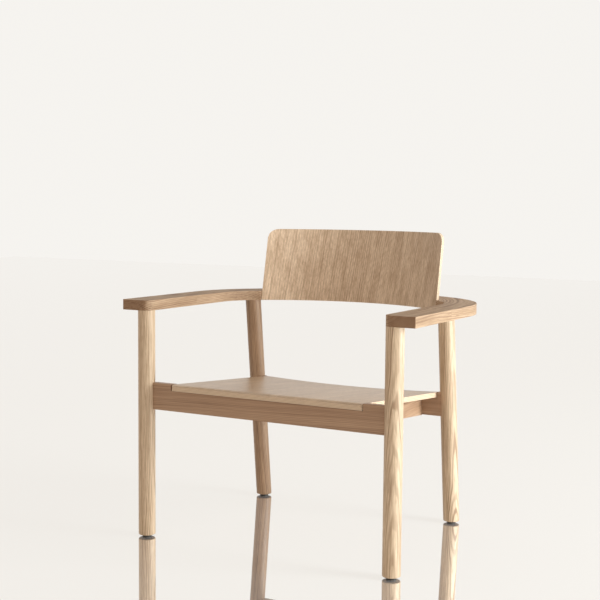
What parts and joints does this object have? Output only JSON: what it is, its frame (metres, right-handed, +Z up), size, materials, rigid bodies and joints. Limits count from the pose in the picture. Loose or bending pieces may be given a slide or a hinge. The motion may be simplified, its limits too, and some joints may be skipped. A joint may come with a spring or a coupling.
{
  "type": "armchair",
  "caption": "Low wooden armchair: round legs, a flat U-shaped board as arms and back rail, a curved plywood backrest and a dished plywood seat on a rail frame.",
  "frame": {"origin": "on the floor, under the middle of the chair's width and depth", "axes": "+Z up, -Y the way the chair faces, +X to the sitter's left"},
  "size_m": [0.744, 0.6001, 0.7223],
  "materials": {
    "leg_oak": "satin lacquer on pale oak, grain along the leg",
    "board_oak": "satin lacquer on pale oak, grain along each board",
    "rail_oak": "satin lacquer on pale oak, grain along the rail",
    "plug_oak": "satin lacquer on oak end grain",
    "seat_plywood": "satin lacquer on oak-faced moulded plywood, plain ply edges",
    "backrest_plywood": "satin lacquer on oak-faced moulded plywood, grain upright, plain ply edges",
    "dowel_beech": "plain beech",
    "zinc_steel": "zinc plated",
    "glide_plastic": "matte dark plastic"
  },
  "bodies": {
    "root": {"left_front_leg": "leg_oak", "right_front_leg": "leg_oak", "left_rear_leg": "leg_oak", "right_rear_leg": "leg_oak", "left_arm": "board_oak", "right_arm": "board_oak", "back_board": "board_oak", "front_rail": "rail_oak", "rear_rail": "rail_oak", "left_side_rail": "rail_oak", "right_side_rail": "rail_oak", "seat": "seat_plywood", "backrest": "backrest_plywood", "front_rail_dowels": "dowel_beech", "rear_rail_dowels": "dowel_beech", "side_rail_front_dowels": "dowel_beech", "side_rail_rear_dowels": "dowel_beech", "arm_joint_dowels": "dowel_beech", "screw_plugs": "plug_oak", "seat_screws": "zinc_steel", "seat_inserts": "zinc_steel", "backrest_screws": "zinc_steel", "backrest_inserts": "zinc_steel", "glide_nails": "zinc_steel", "foot_glides": "glide_plastic"}
  },
  "joints": []
}
